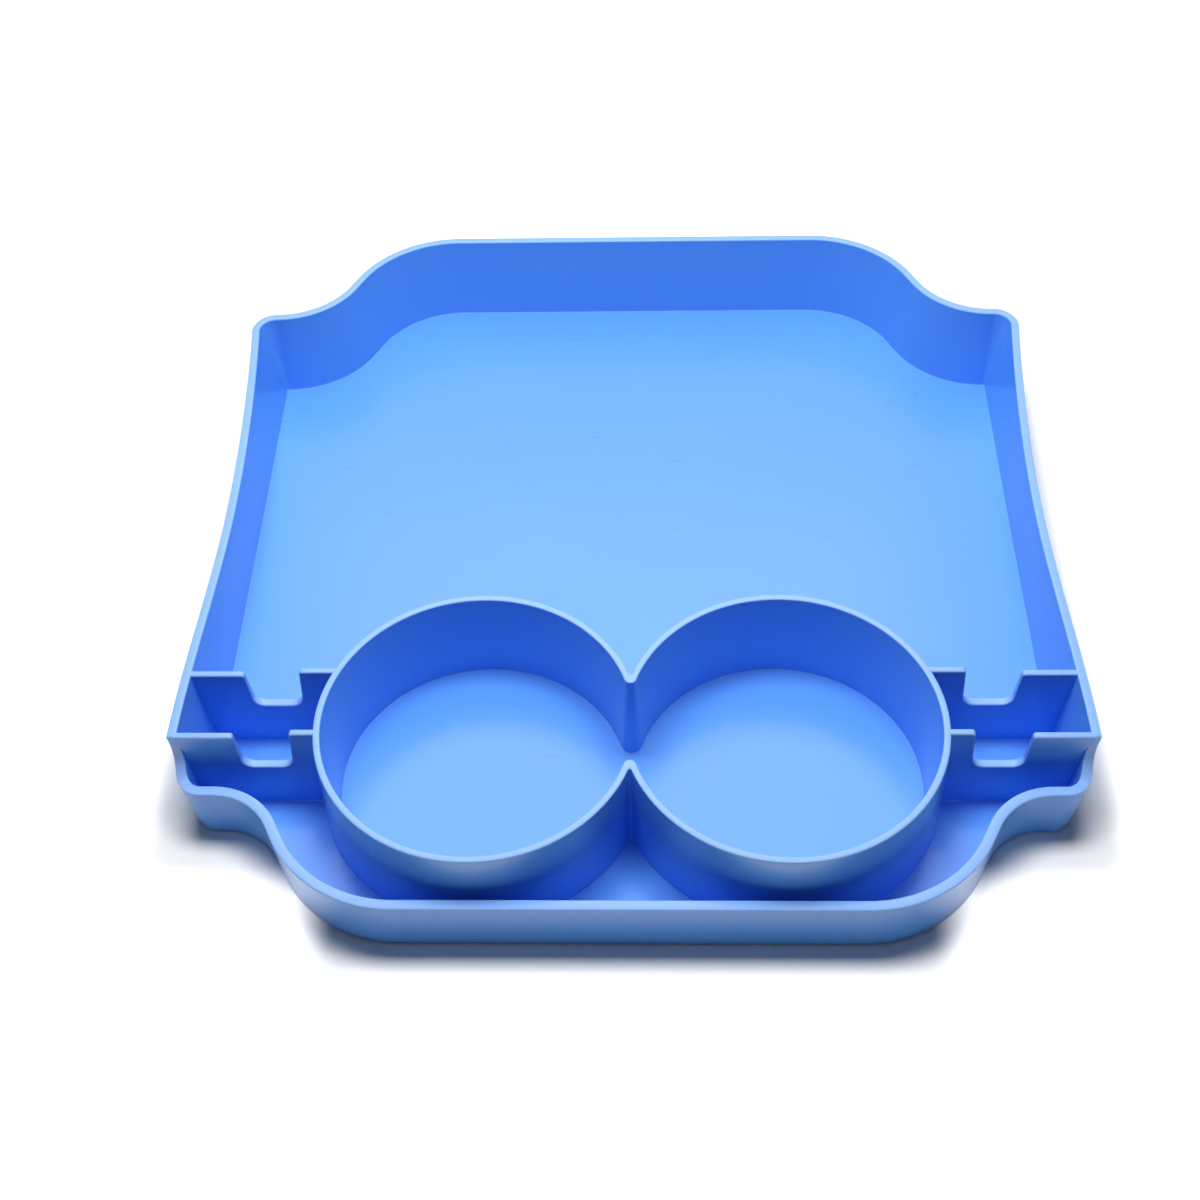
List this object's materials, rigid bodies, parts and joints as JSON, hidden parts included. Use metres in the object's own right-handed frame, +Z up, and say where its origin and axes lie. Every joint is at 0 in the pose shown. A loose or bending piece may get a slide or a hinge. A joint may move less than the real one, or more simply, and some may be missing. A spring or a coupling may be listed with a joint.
{
  "type": "beach bag tray insert",
  "caption": "Shallow moulded tray with an open main compartment, joined round cup wells that open to each other, and notched dividers beside them.",
  "frame": {"origin": "on the surface that the tray stands on, under the middle of its length and width", "axes": "+Z up, +X to the right and +Y to the rear, with the cup wells at the front"},
  "size_m": [0.3016, 0.307, 0.0387],
  "materials": {
    "blue_plastic": "satin moulded plastic, sky blue right through"
  },
  "bodies": {
    "root": {"floor_panel": "blue_plastic", "rear_wall": "blue_plastic", "left_rear_corner": "blue_plastic", "right_rear_corner": "blue_plastic", "left_side_wall": "blue_plastic", "right_side_wall": "blue_plastic", "front_wall": "blue_plastic", "left_front_corner": "blue_plastic", "right_front_corner": "blue_plastic", "left_cup_well": "blue_plastic", "right_cup_well": "blue_plastic", "left_rear_divider": "blue_plastic", "right_rear_divider": "blue_plastic", "left_front_divider": "blue_plastic", "right_front_divider": "blue_plastic"}
  },
  "joints": []
}
